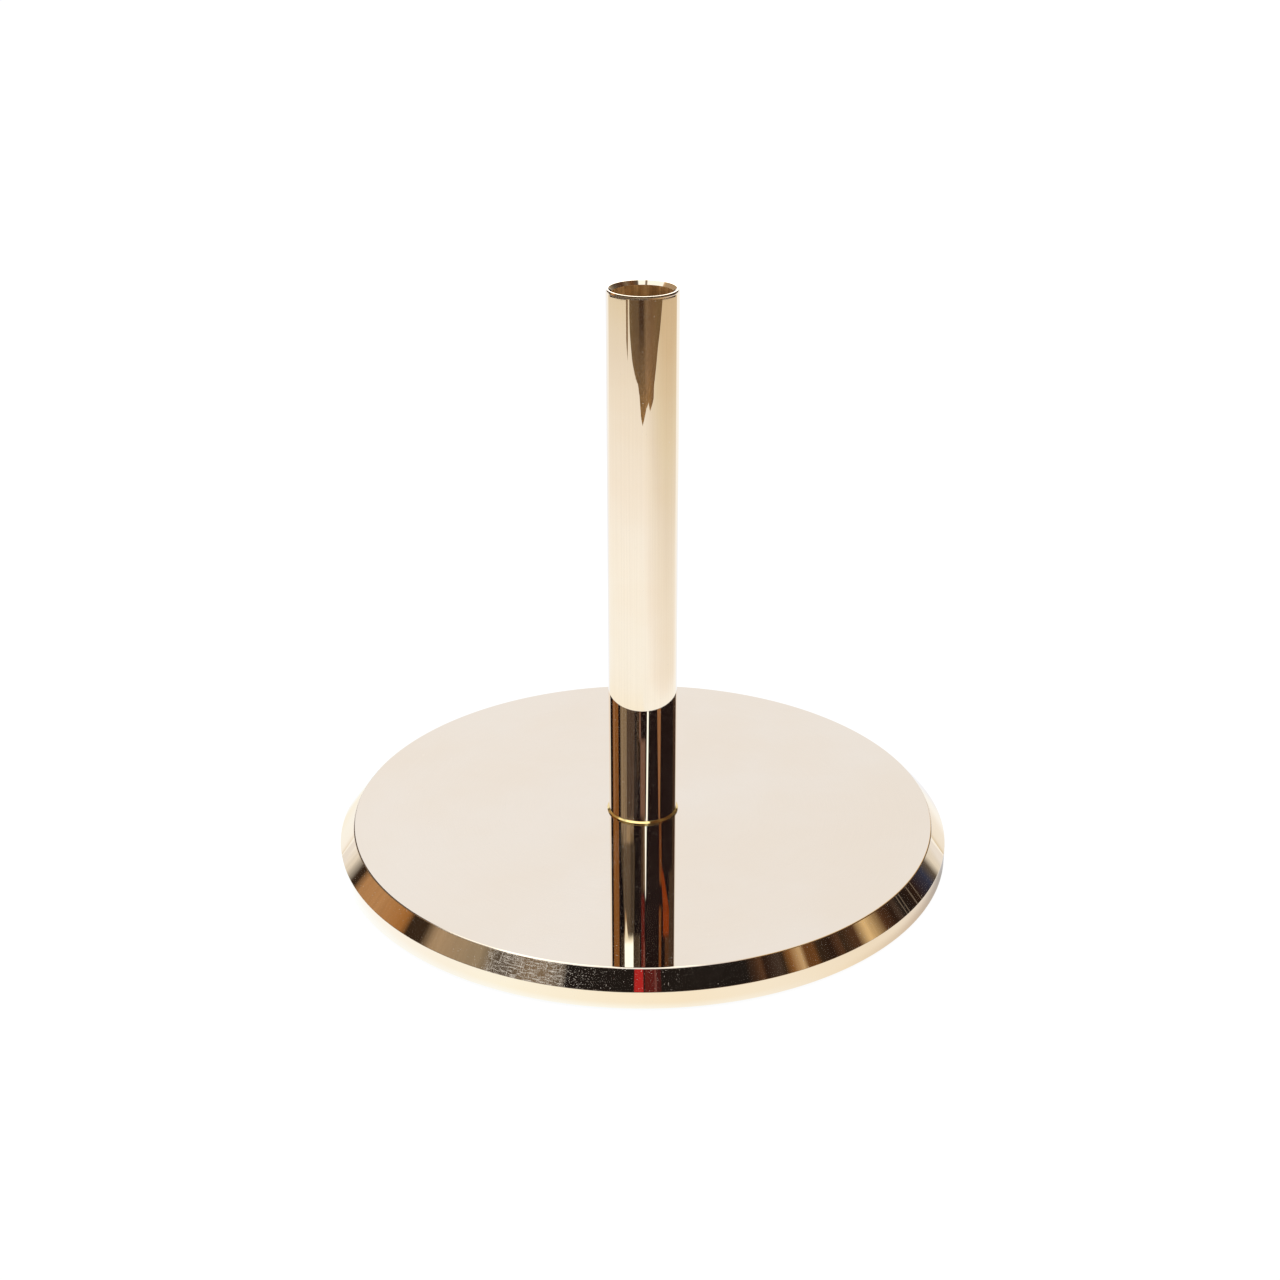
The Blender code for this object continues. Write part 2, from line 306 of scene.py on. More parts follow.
def mirror_gold(name, grain, grain_depth, grain_tone, clouds, dust_share, scuffs=None):
    """Pale gold plate, buffed to a mirror. The wheel's grain is a function of the graph and place.

    The scuffs are the lowest and highest height that cloths have rubbed. Without them a fine spray lies in
    front."""
    made, graph, place = material(name)
    along = grain(graph, place)
    lines = graph.noise(along, 1.0, 2.0)
    cloud = graph.noise(place, clouds, 4.0, 0.6)
    stretched = graph.vector("MULTIPLY", place, (1.0, 2.3, 1.6))
    smear = graph.rise(graph.noise(stretched, clouds * 2.2, 3.0), 0.45, 0.75)
    wear = graph.node("ShaderNodeAttribute", attribute_name="edge_wear").outputs["Fac"]
    worn = graph.maths("MULTIPLY", wear, graph.rise(graph.noise(place, 900, 2.0), 0.3, 0.7))
    film = graph.rise(graph.noise(place, 1200, 3.0, 0.7), 0.35, 0.75, 0.0006, 0.006)
    dust = graph.maths("MAXIMUM", dusted(graph, place, dust_share), film)
    if scuffs:
        dust = graph.maths("MAXIMUM", dust, scuffed(graph, place, *scuffs))
    else:
        spray = graph.rise(graph.noise(place, 2000, 2.0, 0.6), 0.50, 0.72, 0.0, 0.04)
        spray = graph.maths("MULTIPLY", spray, graph.band(degrees_round(graph, place), -45, 14, 15))
        dust = graph.maths("MAXIMUM", dust, spray)

    tone = graph.mix(graph.rise(cloud, 0.25, 0.75), GOLD, GOLD_DEEP)
    tone = graph.scaled(tone, graph.rise(lines, 0.2, 0.8, 1.0 - grain_tone, 1.0 + grain_tone))
    tone = graph.mix(graph.maths("MULTIPLY", worn, 0.3), tone, GOLD_WORN)
    gloss = graph.rise(lines, 0.3, 0.8, 0.008, 0.016)
    gloss = graph.maths("ADD", gloss, graph.maths("MULTIPLY", smear, 0.012))
    gloss = graph.maths("ADD", gloss, graph.maths("MULTIPLY", worn, 0.10))
    gloss = graph.maths("MAXIMUM", gloss, graph.maths("MULTIPLY", dust, 0.8))
    graph.surface(
        Base_Color=graph.mix(dust, tone, DUST),
        Metallic=graph.maths("SUBTRACT", 1.0, dust),
        Roughness=gloss,
        Normal=graph.bumped(lines, grain_depth),
    )
    return made


def lengthwise(graph, place):
    """Grain in long thin streaks up the tube."""
    parts = graph.split(place)
    angle = graph.maths("ARCTAN2", parts[0], parts[1])
    return graph.joined(graph.maths("MULTIPLY", angle, 21.0), graph.maths("MULTIPLY", parts[2], 7.0), 0.0)


def in_rings(graph, place):
    """Grain in rings round the base's middle."""
    parts = graph.split(place)
    radius = graph.vector("LENGTH", graph.joined(parts[0], parts[1], 0.0))
    angle = graph.maths("ARCTAN2", parts[0], parts[1])
    return graph.joined(graph.maths("MULTIPLY", radius, 1800.0), graph.maths("MULTIPLY", angle, 3.0), 0.0)


def satin_bore_painted_shade():
    """The tube's inside: drawn and plated but never buffed, so satin and streaked, and painted dark brown for
    the shade deep in the bore.
    """
    made, graph, place = material("satin_bore_painted_shade")
    streak = graph.noise(graph.vector("MULTIPLY", place, (520.0, 520.0, 9.0)), 1.0, 4.0, 0.65)
    stain = graph.noise(place, 160, 4.0, 0.6)
    tone = graph.mix(graph.rise(streak, 0.3, 0.7), BORE_SHADED_DARK, BORE_SHADED_PALE)
    tone = graph.scaled(tone, graph.rise(stain, 0.3, 0.75, 0.75, 1.15))
    graph.surface(
        Base_Color=tone,
        Metallic=0.45,
        Roughness=graph.rise(streak, 0.2, 0.8, 0.26, 0.46),
        Normal=graph.bumped(streak, 0.00002),
    )
    return made


def yellow_brass():
    """Bright yellow ring, a little tarnished in patches."""
    made, graph, place = material("yellow_brass")
    mottle = graph.noise(place, 620, 4.0, 0.6)
    tarnish = graph.rise(graph.noise(place, 240, 3.0), 0.42, 0.72)
    tone = graph.mix(graph.maths("MULTIPLY", tarnish, 0.5), BRASS, BRASS_TARNISHED)
    graph.surface(
        Base_Color=graph.scaled(tone, graph.rise(mottle, 0.3, 0.7, 0.92, 1.04)),
        Metallic=1.0,
        Roughness=graph.rise(mottle, 0.2, 0.8, 0.03, 0.08),
        Normal=graph.bumped(mottle, 0.000006),
    )
    return made


def cast_iron():
    """Rough sand-cast iron under thin black paint."""
    made, graph, place = material("cast_iron")
    grit = graph.noise(place, 850, 5.0, 0.65)
    swell = graph.noise(place, 60, 3.0)
    rust = graph.rise(graph.noise(place, 130, 5.0, 0.7), 0.60, 0.74)
    tone = graph.mix(graph.rise(grit, 0.3, 0.75), IRON_PAINT, IRON_PAINT_WORN)
    graph.surface(
        Base_Color=graph.mix(graph.maths("MULTIPLY", rust, 0.5), tone, IRON_RUST),
        Metallic=graph.rise(rust, 0.0, 1.0, 0.35, 0.0),
        Roughness=graph.rise(grit, 0.2, 0.8, 0.55, 0.85),
        Normal=graph.bumped(graph.maths("MULTIPLY_ADD", swell, 2.0, grit), 0.0002),
    )
    return made


def black_rubber():
    """Moulded rubber, greyed by floor dust."""
    made, graph, place = material("black_rubber")
    grain = graph.noise(place, 1500, 3.0)
    scuff = graph.rise(graph.noise(graph.vector("MULTIPLY", place, (90.0, 90.0, 400.0)), 1.0, 4.0), 0.5, 0.75)
    graph.surface(
        Base_Color=graph.mix(graph.maths("MULTIPLY", scuff, 0.45), RUBBER, RUBBER_SCUFFED),
        Roughness=graph.rise(grain, 0.2, 0.8, 0.6, 0.85),
        Normal=graph.bumped(grain, 0.00006),
    )
    return made


def zinc_steel():
    """Zinc plate with a faint straw and blue passivation and fine spangle."""
    made, graph, place = material("zinc_steel")
    spangle = graph.noise(place, 900, 3.0)
    tint = graph.rise(graph.noise(place, 190, 3.0), 0.35, 0.65)
    tone = graph.mix(tint, ZINC_BLUE, ZINC_STRAW)
    graph.surface(
        Base_Color=graph.scaled(tone, graph.rise(spangle, 0.25, 0.75, 0.88, 1.06)),
        Metallic=1.0,
        Roughness=graph.rise(spangle, 0.2, 0.8, 0.24, 0.42),
        Normal=graph.bumped(spangle, 0.00003),
    )
    return made


# ---------------------------------------------------------------- turned pieces


def rounded(corners):
    """A closed outline's points as (radius, height, wear), from (radius, height, fillet) corners.

    Beside each fillet stands a holding point, which keeps the smooth shading of the fillet off the flats."""
    points = []
    for index, (radius, height, fillet) in enumerate(corners):
        corner = Vector((radius, height))
        if fillet == 0:
            points.append((radius, height, 0.0))
            continue
        to_last = (Vector(corners[index - 1][:2]) - corner).normalized()
        to_next = (Vector(corners[(index + 1) % len(corners)][:2]) - corner).normalized()
        half_angle = to_last.angle(to_next) / 2
        reach = fillet / math.tan(half_angle)
        centre = corner + (to_last + to_next).normalized() * fillet / math.sin(half_angle)
        first = corner + to_last * reach - centre
        last = corner + to_next * reach - centre
        start = math.atan2(first.y, first.x)
        sweep = math.remainder(math.atan2(last.y, last.x) - start, math.tau)
        hold = min(HOLD, fillet / 4)
        points.append((*(corner + to_last * (reach + hold)), 0.0))
        for step in range(FILLET_STEPS + 1):
            angle = start + sweep * step / FILLET_STEPS
            point = centre + Vector((math.cos(angle), math.sin(angle))) * fillet
            wear = math.sin(math.pi * step / FILLET_STEPS)
            points.append((point.x, point.y, wear))
        points.append((*(corner + to_next * (reach + hold)), 0.0))
    return points


def spun(name, corners, segments):
    """One closed solid: a closed outline, clockwise with the radius to the right, turned about Z."""
    points = rounded(corners)
    turns = [math.tau * step / segments for step in range(segments)]
    vertices = [
        (radius * math.cos(turn), radius * math.sin(turn), height)
        for radius, height, _ in points
        for turn in turns
    ]
    faces = []
    for row in range(len(points)):
        upper = row * segments
        lower = (row + 1) % len(points) * segments
        for step in range(segments):
            after = (step + 1) % segments
            faces.append((upper + step, lower + step, lower + after, upper + after))
    mesh = bpy.data.meshes.new(name)
    mesh.from_pydata(vertices, [], faces)
    mesh.shade_smooth()
    mesh.set_sharp_from_angle(angle=SHARP_EDGE)
    wear = mesh.attributes.new("edge_wear", "FLOAT", "POINT")
    wear.data.foreach_set("value", [worn for _, _, worn in points for _ in turns])
    made = bpy.data.objects.new(name, mesh)
    bpy.context.scene.collection.objects.link(made)
    return made


def fitted(piece, node, slot, *finishes):
    """Puts a made piece in the place of its CAD node."""
    for finish in finishes:
        piece.data.materials.append(finish)
    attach(piece, "root")
    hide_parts(node)


def base_shell():
    """The polished cover: flat top, bevelled rim, short upright wall, open underneath."""
    low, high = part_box("base_cover")
    slope = math.atan2(BEVEL_RISE, BEVEL_REACH)
    inner_foot = high.z - BEVEL_RISE - COVER_SHEET * math.tan((math.pi / 2 - slope) / 2)
    inner_top = high.x - BEVEL_REACH - COVER_SHEET * math.tan(slope / 2)
    corners = [
        (COVER_HOLE_RADIUS, high.z, 0),
        (high.x - BEVEL_REACH, high.z, TOP_FILLET),
        (high.x, high.z - BEVEL_RISE, FOOT_FILLET),
        (high.x, low.z, COVER_SHEET / 4),
        (high.x - COVER_SHEET, low.z, COVER_SHEET / 4),
        (high.x - COVER_SHEET, inner_foot, 0),
        (inner_top, high.z - COVER_SHEET, 0),
        (COVER_HOLE_RADIUS, high.z - COVER_SHEET, 0),
    ]
    piece = spun("polished_cover", corners, BASE_SEGMENTS)
    scuffs = (high.z - BEVEL_RISE, high.z - SCUFF_TOP_GAP)
    finish = mirror_gold("mirror_gold_base", in_rings, 0.00000006, 0.006, 11, 0.5, scuffs)
    fitted(piece, "base_cover", "polished_gold", finish)


def socket_post():
    """The socket tube, down onto its ring, with its rim turned and its bore left satin."""
    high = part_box("socket_tube")[1]
    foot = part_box("seat_ring")[1].z - RING_SINK
    bore = high.x - TUBE_WALL
    land = high.x - CHAMFER_REACH
    corners = [
        (high.x, foot, COVER_SHEET / 8),
        (bore, foot, 0),
        (bore, high.z - LEAD_IN_DEPTH, RIM_FILLET_FINE),
        (land - RIM_LAND, high.z, RIM_FILLET_FINE),
        (land, high.z, RIM_FILLET_FINE),
        (high.x, high.z - CHAMFER_RISE, RIM_ROLL),
    ]
    piece = spun("polished_socket", corners, TUBE_SEGMENTS)
    fitted(
        piece,
        "socket_tube",
        "polished_gold",
        mirror_gold("mirror_gold_tube", lengthwise, 0.0000003, 0.02, 22, 0.3),
        satin_bore_painted_shade(),
    )
    for face in piece.data.polygons:
        middle = face.center
        in_bore = math.hypot(middle.x, middle.y) < bore + RIM_FILLET_FINE / 4
        face.material_index = int(in_bore and middle.z < high.z - LEAD_IN_DEPTH)


def brass_bead():
    """The seat ring, bevelled down from the tube to its edge on the cover."""
    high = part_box("seat_ring")[1]
    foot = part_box("base_cover")[1].z
    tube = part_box("socket_tube")[1].x
    corners = [
        (COVER_HOLE_RADIUS, high.z, 0),
        (tube + RING_TOP_LAND, high.z, RING_FILLET),
        (high.x, foot + (high.z - foot) * RING_EDGE_SHARE, RING_FILLET),
        (high.x, foot, RING_FILLET / 2),
        (COVER_HOLE_RADIUS, foot, 0),
    ]
    piece = spun("brass_bead", corners, TUBE_SEGMENTS)
    fitted(piece, "seat_ring", "yellow_brass", yellow_brass())


def hidden_pieces():
    """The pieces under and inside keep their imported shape."""
    zinc = zinc_steel()
    finishes = {
        "base_weight": cast_iron(),
        "floor_ring": black_rubber(),
        "tube_plug": zinc,
        "clamp_stud": zinc,
        "flat_washer": zinc,
        "spring_washer": zinc,
        "lock_nut": zinc,
    }
    for name, finish in finishes.items():
        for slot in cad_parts[name].material_slots:
            slot.material = finish


# ----------------------------------------------------------------------- studio

# The colours, in linear light, of the things that stand round the studio
WHITE_SCREEN = (0.96, 1.02, 1.08)
SOFT_WHITE = (0.94, 0.93, 0.91)
SHADED_WHITE = (0.87, 0.86, 0.85)
CREAM = (0.78, 0.74, 0.66)
BROWN_DOOR = (0.46, 0.25, 0.11)
ORANGE_DOOR = (0.38, 0.17, 0.05)
TAN_CURTAIN = (0.41, 0.30, 0.19)
GREY_CURTAIN = (0.31, 0.25, 0.17)
GREY_CLOTH = (0.24, 0.20, 0.15)
UMBER = (0.20, 0.15, 0.10)
DIM = (0.11, 0.09, 0.07)
DUSK = (0.08, 0.06, 0.05)
GLOOM = (0.06, 0.04, 0.03)
SHADOW = (0.04, 0.024, 0.014)
UNLIT = (0.028, 0.014, 0.009)
NIGHT = (0.015, 0.012, 0.011)
RUSSET = (0.085, 0.04, 0.02)
RUST = (0.18, 0.07, 0.025)
AMBER = (0.24, 0.11, 0.035)
DARK_AMBER = (0.14, 0.06, 0.02)
LAMP = (0.59, 0.41, 0.22)
GOLDEN_LAMP = (0.76, 0.55, 0.28)
LIT_WOOD = (0.31, 0.17, 0.09)
ORANGE = (0.23, 0.047, 0.01)
RED = (0.44, 0.026, 0.026)
DARK_RED = (0.11, 0.016, 0.014)
DULL_RED = (0.062, 0.013, 0.012)
PALE_RED = (0.18, 0.06, 0.055)
ROSE = (0.19, 0.12, 0.10)
BLUE_SHADE = (0.036, 0.042, 0.078)
THIN_LIGHT = (0.18, 0.15, 0.12)
SCREEN_EDGE = (0.95, 1.02, 0.97)
WINDOW = (1.35, 1.65, 1.90)
BRIGHT_SCREEN = (1.15, 1.20, 1.20)
CEILING_LIGHT = (1.70, 1.70, 1.60)
CEILING_LAMP = (1.50, 1.45, 1.35)
HOT_SPOT = (3.00, 2.90, 2.60)
SPECKLED_DARK = (0.050, 0.029, 0.013)
FAR_ROOM_DARK = (0.013, 0.008, 0.009)

# The room is laid out by the polished face that mirrors it: the face's slope, and its place round the rim in
# degrees from the front, to the right positive. The slopes, in degrees, over which one part of the room gives
# way to the next, from the low front up to the white overhead
RIM_STARTS = (19.0, 20.0)
MOUTH_STARTS = (35.6, 36.4)
CEILING_STARTS = (40.6, 41.4)
LAMP_STARTS = (46, 49)
ROOM_ENDS = (62, 64)
HOT_SPOT_STARTS = (87.0, 88.5)
# Heights in degrees above level: where the room meets the table, and where the screen overhead is plain again
LEVEL = (-1.5, -0.5)
OVERHEAD = (68, 74)
# Places round the rim, in degrees, of the bright strip in the ceiling: (first, last, softness)
CEILING_STRIP = (-27, 11, 1.5)

# What the base's bevel mirrors, by place round the rim
LEFT_OF_RIM = (
    (-74.0, WHITE_SCREEN),
    (-69.0, SOFT_WHITE),
    (-66.4, CREAM),
    (-63.5, SHADOW),
    (-62.3, SHADOW),
    (-60.0, BROWN_DOOR),
    (-54.0, BROWN_DOOR),
    (-47.0, ORANGE_DOOR),
    (-45.1, SHADOW),
    (-41.8, SHADOW),
    (-38.9, TAN_CURTAIN),
    (-29.5, GREY_CURTAIN),
    (-26.6, DIM),
    (-24.0, DIM),
    (-20.5, UMBER),
    (-17.0, UMBER),
    (-13.8, DIM),
    (-13.2, NIGHT),
)
RIGHT_OF_RIM = (
    (18.2, NIGHT),
    (21.0, RUSSET),
    (21.7, UNLIT),
    (24.4, GLOOM),
    (25.3, SHADOW),
    (26.7, AMBER),
    (28.8, LAMP),
    (29.6, DARK_AMBER),
    (31.4, DARK_AMBER),
    (32.2, SHADOW),
    (34.8, UNLIT),
    (36.6, RUSSET),
    (37.5, SHADOW),
    (40.4, RUSSET),
    (43.2, GOLDEN_LAMP),
    (47.3, RUSSET),
    (49.9, UNLIT),
)
FAR_RIGHT_OF_RIM = (
    (50.0, UNLIT),
    (51.4, GLOOM),
    (52.6, NIGHT),
    (58.0, UNLIT),
    (62.5, BLUE_SHADE),
    (64.5, DIM),
    (66.6, CREAM),
    (71.0, SHADED_WHITE),
)
# Thin bright edges in the dark on the right, and the red things seen at the middle
FINE_LINES = (52.8, 53.7, 56.4, 57.9)
RED_THINGS = (
    ((-1.42, 0.12), RED),
    ((0.38, 2.05), DARK_RED),
    ((2.05, 2.4), PALE_RED),
    ((2.4, 3.1), DULL_RED),
)

# What the taper inside the tube's mouth mirrors, higher up
MOUTH = (
    (-46.0, TAN_CURTAIN),
    (-41.0, LAMP),
    (-38.0, BRIGHT_SCREEN),
    (-9.2, BRIGHT_SCREEN),
    (-7.4, UMBER),
    (-5.4, UMBER),
    (-3.6, BRIGHT_SCREEN),
    (6.4, BRIGHT_SCREEN),
    (8.6, DIM),
    (20.0, DARK_AMBER),
    (30.0, UMBER),
    (40.0, RUSSET),
    (60.0, DIM),
    (76.0, GREY_CURTAIN),
    (90.0, SHADED_WHITE),
)

# What shows lower down in front, in the ring and in rounded edges
LOW_FRONT = (
    (-67.0, SHADED_WHITE),
    (-64.0, DIM),
    (-14.0, DUSK),
    (6.0, DIM),
    (14.0, AMBER),
    (30.0, LAMP),
    (67.0, SHADED_WHITE),
)

# What two mirrors in a row show of the room: the tube's foot, and the tube's image in the base. Each area is
# (lowest, its left, its right, highest, its left, its right) in degrees up and round. Later ones hide earlier
# ones.
FAR_ROOM = (
    ((20.0, -120, -90.5, 40.0, -125, -92), AMBER),
    ((20.0, -117, -106, 29.0, -118, -110), LIT_WOOD),
    ((20.0, -82, -54, 30.5, -81, -56), GREY_CLOTH),
    ((20.0, -54, -23, 29.3, -54, -30), DUSK),
    ((29.3, -57, -31, 30.0, -57, -31), GREY_CURTAIN),
    ((30.0, -82, -27, 32.7, -64, -30), DIM),
    ((32.7, -84, -10, 40.0, -84, -10), DIM),
    ((20.0, -23, -9, 28.0, -20, -11), SHADOW),
    ((20.0, -13.5, -6, 26.9, -12, -6), ROSE),
    ((26.9, -7.5, 9, 29.2, -7.5, 9), ROSE),
    ((29.2, 2.5, 9, 31.4, 2.5, 9), UMBER),
    ((29.2, -5, 2.5, 31.4, -5, 2.5), GLOOM),
    ((31.5, -4.5, 6.5, 40.0, -4.5, 6.5), DARK_RED),
    ((32.9, 2, 8.5, 40.0, 2, 8.5), PALE_RED),
    ((24.0, 46, 65, 29.3, 57, 62), LIT_WOOD),
    ((29.3, 59.5, 66.5, 31.2, 61, 71), RUST),
    ((30.8, 67, 75, 31.9, 77, 106), ORANGE),
    ((31.9, 77, 107, 32.7, 78, 107), ORANGE),
    ((32.7, 86, 108, 40.0, 86, 108), RUSSET),
    ((31.9, 60, 69.5, 40.0, 59, 69.5), RUST),
    ((30.8, 107, 131, 40.0, 107, 131), GLOOM),
    ((20.0, 125, 152, 40.0, 125, 152), GLOOM),
)
FAR_LIGHTS = (
    ((32.0, -64, -61, 32.8, -68, -52), TAN_CURTAIN),
    ((32.3, -63, -60, 33.0, -67, -50), SCREEN_EDGE),
    ((32.75, -67, -33, 33.1, -67, -33), SCREEN_EDGE),
    ((32.9, -67, -33, 40.0, -67, -33), WINDOW),
    ((24.0, 17.2, 22.4, 29.35, 11.2, 16.6), WINDOW),
    ((29.35, 7.9, 13.3, 31.6, 9.2, 11.3), WINDOW),
)


def near_room(graph, way, white):
    """What one mirror shows: a white studio, with a dark room in front and a dark ceiling above it."""
    waver = graph.maths("SUBTRACT", graph.noise(way, 14, 3.0), 0.5)
    face = graph.vector("NORMALIZE", graph.vector("SUBTRACT", way, LOOK_DOWN))
    slope = graph.maths("ADD", degrees_up(graph, face), waver)
    place = graph.maths("ADD", degrees_round(graph, face), waver)
    off_front = graph.maths("ABSOLUTE", place)
    squared = graph.maths("MULTIPLY", place, place)

    # What the base's bevel mirrors
    left = graph.ramp(place, -75, 0, LEFT_OF_RIM)
    right = graph.mix(
        graph.maths("GREATER_THAN", place, 50.0),
        graph.ramp(place, 0, 51, RIGHT_OF_RIM),
        graph.ramp(place, 49, 72, FAR_RIGHT_OF_RIM),
    )
    rim = graph.mix(graph.rise(place, -0.1, 0.1), left, right)
    for (start, end), colour in RED_THINGS:
        rim = graph.mix(graph.band(place, start, end, 0.12), rim, colour)
    for line in FINE_LINES:
        rim = graph.mix(graph.band(place, line - 0.10, line + 0.10, 0.12), rim, THIN_LIGHT)
    clutter = graph.noise(way, 34, 5.0, 0.7)
    rim = graph.scaled(rim, graph.rise(clutter, 0.32, 0.68, 0.93, 1.07))
    over = graph.rise(graph.maths("MULTIPLY_ADD", squared, 0.0019, slope), 34.0, 34.6)
    over = graph.maths("MULTIPLY", over, graph.rise(off_front, 26, 32))
    over = graph.maths("MULTIPLY", over, graph.rise(off_front, 70, 78, 1.0, 0.0))
    rim = graph.mix(over, rim, GLOOM)

    # What the chamfer round the tube's mouth mirrors, speckled, and the softer dark below it
    height = degrees_up(graph, way)
    specks = graph.rise(graph.noise(way, 40, 4.0, 0.7), 0.40, 0.70, 0.5, 2.1)
    speckled = graph.scaled(SPECKLED_DARK, specks)
    soft_dark = graph.mix(graph.rise(height, 0, 42), GLOOM, GREY_CURTAIN)
    shade = graph.mix(graph.band(slope, 26.1, 27.1, 0.3), soft_dark, speckled)
    under = graph.rise(graph.maths("MULTIPLY_ADD", squared, 0.00087, slope), 29.0, 29.4, 1.0, 0.0)
    front = graph.maths("MULTIPLY", graph.rise(off_front, 48, 50.5, 1.0, 0.0), under)
    side = graph.maths("MULTIPLY", graph.rise(slope, 25.5, 25.8), graph.rise(slope, 27.6, 28.0, 1.0, 0.0))
    side = graph.maths("MULTIPLY", side, graph.band(off_front, 58.5, 84, 1))
    room = graph.mix(graph.maths("MAXIMUM", front, side), rim, shade)

    # Below and above them
    room = graph.mix(graph.rise(slope, *RIM_STARTS, 1.0, 0.0), room, graph.ramp(place, -90, 90, LOW_FRONT))
    room = graph.mix(graph.rise(slope, *MOUTH_STARTS), room, graph.ramp(place, -90, 90, MOUTH))
    lit = graph.maths("MULTIPLY", graph.rise(slope, *LAMP_STARTS), graph.rise(place, -43, -34))
    above_left = graph.mix(lit, DUSK, CEILING_LAMP)
    above_right = graph.mix(graph.rise(slope, 48, 52), RUSSET, GOLDEN_LAMP)
    ceiling = graph.mix(graph.rise(place, -1, 1), above_left, above_right)
    strip = graph.band(place, *CEILING_STRIP)
    room = graph.mix(graph.rise(slope, *CEILING_STARTS), room, graph.mix(strip, ceiling, CEILING_LIGHT))

    # Where the room shows, and the white screen round it
    above_table = graph.rise(height, *LEVEL)
    inside = graph.maths("MULTIPLY", graph.rise(slope, *ROOM_ENDS, 1.0, 0.0), above_table)
    inside = graph.maths("MULTIPLY", inside, graph.rise(off_front, 72, 74, 1.0, 0.0))
    mouth = graph.maths("MULTIPLY", graph.band(slope, 36, 41, 0.5), graph.rise(off_front, 88, 90, 1.0, 0.0))
    strip = graph.maths("MULTIPLY", strip, graph.band(slope, 41, 76, 1.0))
    sides = graph.maths("MULTIPLY", side, above_table)
    inside = graph.maths("MAXIMUM", inside, sides)
    inside = graph.maths("MAXIMUM", inside, graph.maths("MAXIMUM", mouth, strip))
    screen = graph.mix(graph.rise(slope, *HOT_SPOT_STARTS), white, HOT_SPOT)
    return graph.mix(graph.rise(height, *OVERHEAD), graph.mix(inside, screen, room), white)


def far_room(graph, way, white):
    """What two mirrors in a row show."""
    waver = graph.maths("MULTIPLY_ADD", graph.noise(way, 9, 2.0), 1.2, -0.6)
    across = graph.maths("ADD", degrees_round(graph, way), waver)
    up = graph.maths("MULTIPLY_ADD", waver, 0.15, degrees_up(graph, way))
    room = FAR_ROOM_DARK
    for corners, colour in FAR_ROOM:
        room = graph.mix(graph.panel(across, up, corners), room, colour)
    threads = graph.joined(graph.maths("MULTIPLY", across, 0.45), graph.maths("MULTIPLY", up, 0.12), 0.0)
    threads = graph.noise(threads, 1.0, 3.0)
    streaked = graph.band(across, -82, -9, 4)
    darkest = graph.between(streaked, 0.88, 0.62)
    brightest = graph.between(streaked, 1.12, 1.35)
    room = graph.scaled(room, graph.rise(threads, 0.30, 0.70, darkest, brightest))
    flank = graph.rise(across, -76, -66, 0.45, 1.0)
    flank = graph.maths("MAXIMUM", flank, graph.rise(across, -23, -20, 0.0, 1.0))
    flank = graph.maths("MINIMUM", flank, graph.rise(across, -50, -36, 1.0, 0.55))
    flank = graph.maths("MAXIMUM", flank, graph.rise(across, -20, -10))
    flank = graph.maths("MAXIMUM", flank, graph.rise(across, -86, -80, 1.0, 0.0))
    flank = graph.maths("MAXIMUM", flank, graph.rise(up, 29.3, 30.2, 1.0, 0.0))
    room = graph.scaled(room, flank)
    for corners, colour in FAR_LIGHTS:
        room = graph.mix(graph.panel(across, up, corners), room, colour)
    inside = graph.maths("MULTIPLY", graph.band(across, -141, 151, 2), graph.band(up, -5, 60, 2))
    return graph.mix(inside, white, room)


def studio():
    """White overhead and behind, with a dark room in front of the object. Only mirrored rays see the room."""
    world = bpy.data.worlds.new("studio")
    bpy.context.scene.world = world
    world.use_nodes = True
    world.cycles.sampling_method = "NONE"
    graph = Graph(world.node_tree)
    way = graph.node("ShaderNodeTexCoord").outputs["Generated"]
    path = graph.node("ShaderNodeLightPath").outputs
    brightness = graph.maths("MULTIPLY_ADD", graph.split(way)[0], -0.08, 0.90)
    white = graph.scaled(WALL_WHITE, brightness)
    second_mirror = graph.maths("GREATER_THAN", path["Ray Depth"], BACKGROUND_DEPTH + 1.5)
    panorama = graph.mix(second_mirror, near_room(graph, way, white), far_room(graph, way, white))

    matte = graph.maths("GREATER_THAN", path["Diffuse Depth"], 0.5)
    plain = graph.maths("MAXIMUM", path["Is Camera Ray"], matte)
    background = graph.node("ShaderNodeBackground")
    graph.feed(background.inputs["Color"], graph.mix(plain, panorama, (SKY_LIGHT, SKY_LIGHT, SKY_LIGHT)))
    output = graph.node("ShaderNodeOutputWorld")
    graph.tree.links.new(background.outputs[0], output.inputs["Surface"])


def staged(name, vertices, finish, mirrored_only):
    """A flat stage piece. One that is only mirrored lies round the table and is never seen itself."""
    mesh = bpy.data.meshes.new(name)
    mesh.from_pydata(vertices, [], [tuple(range(len(vertices)))])
    mesh.materials.append(finish)
    made = bpy.data.objects.new(name, mesh)
    bpy.context.scene.collection.objects.link(made)
    if mirrored_only:
        made.visible_camera = False
        made.visible_diffuse = False
        made.visible_shadow = False
        made.visible_transmission = False
    return made


def flat_square(half, height):
    return [(-half, -half, height), (half, -half, height), (half, half, height), (-half, half, height)]


def floor():
    """A softly lit white table, like the one that a shop photograph is taken on."""
    made, graph, place = material("pale_floor")
    made.cycles.emission_sampling = "NONE"
    soft = graph.noise(place, 3, 2.0)
    graph.surface(
        Base_Color=(FLOOR_WHITE,) * 3,
        Roughness=0.9,
        Specular_IOR_Level=0.0,
        Emission_Color=graph.scaled((FLOOR_GLOW,) * 3, graph.rise(soft, 0.3, 0.7, 0.995, 1.0)),
        Emission_Strength=1.0,
    )
    staged("floor", flat_square(FLOOR_HALF, -FLOOR_DROP), made, False)


